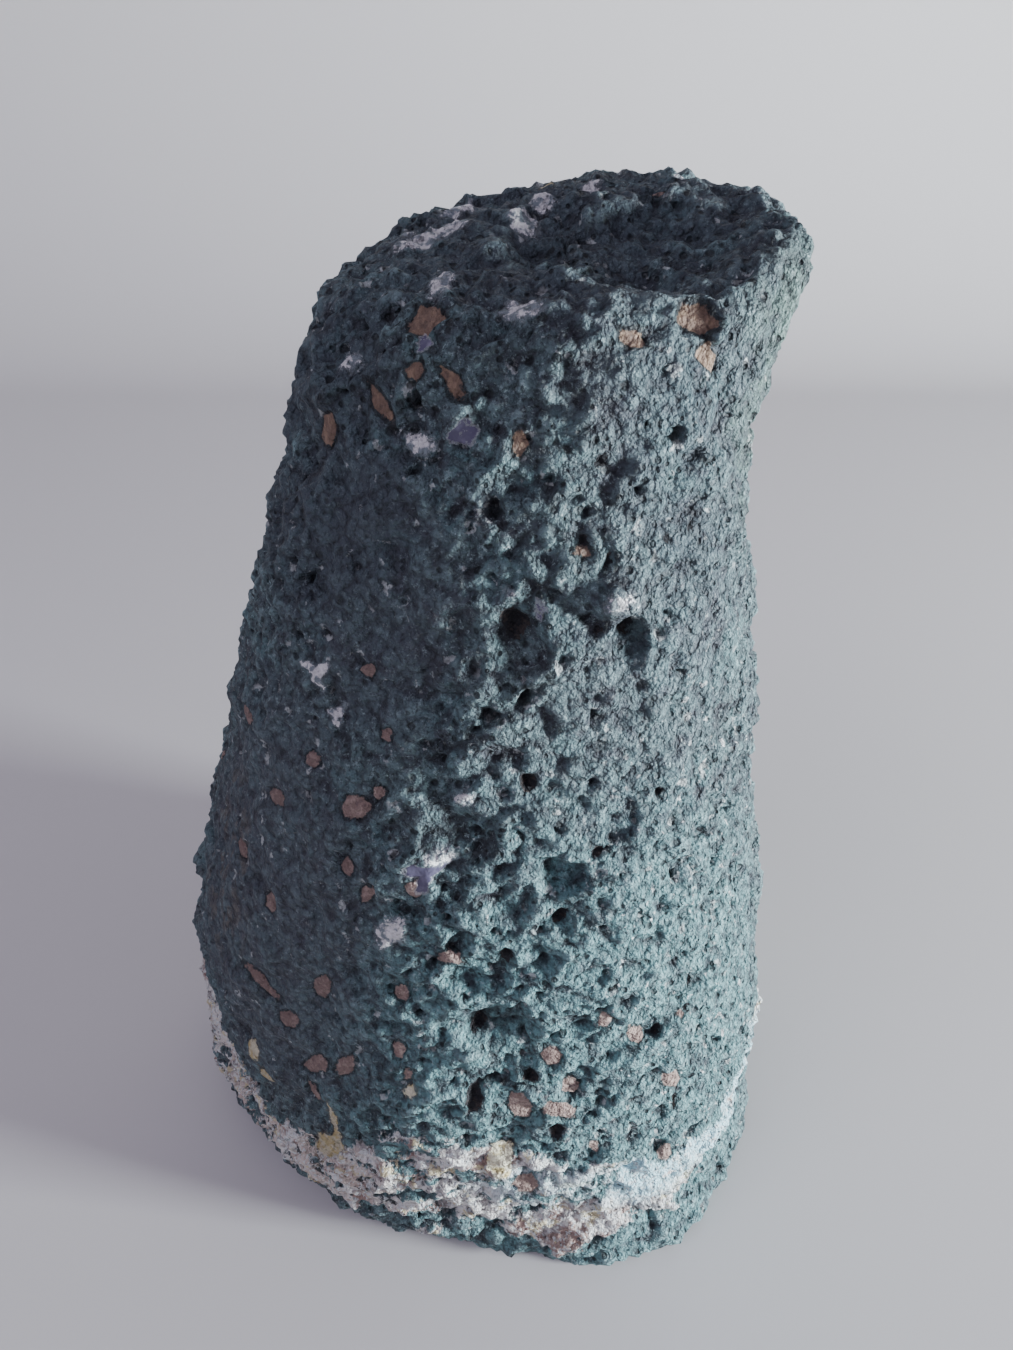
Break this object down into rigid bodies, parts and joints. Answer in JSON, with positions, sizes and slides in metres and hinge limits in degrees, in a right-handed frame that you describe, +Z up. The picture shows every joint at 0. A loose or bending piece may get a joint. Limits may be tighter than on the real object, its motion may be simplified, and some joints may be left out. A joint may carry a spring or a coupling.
{
  "type": "amethyst geode",
  "caption": "Tall cathedral geode with a closed, pitted dark green basalt rind, tapering from a flat sawn foot to a slanted dished crown.",
  "frame": {"origin": "on the flat foot's plane, under the middle of the geode's box", "axes": "+Z up along the geode's height, -Y towards the front, +X to the right seen from the front"},
  "size_m": [0.1784, 0.1568, 0.2614],
  "materials": {
    "rind": "rough, pitted, matt"
  },
  "bodies": {
    "root": {"geode": "rind"}
  },
  "joints": []
}
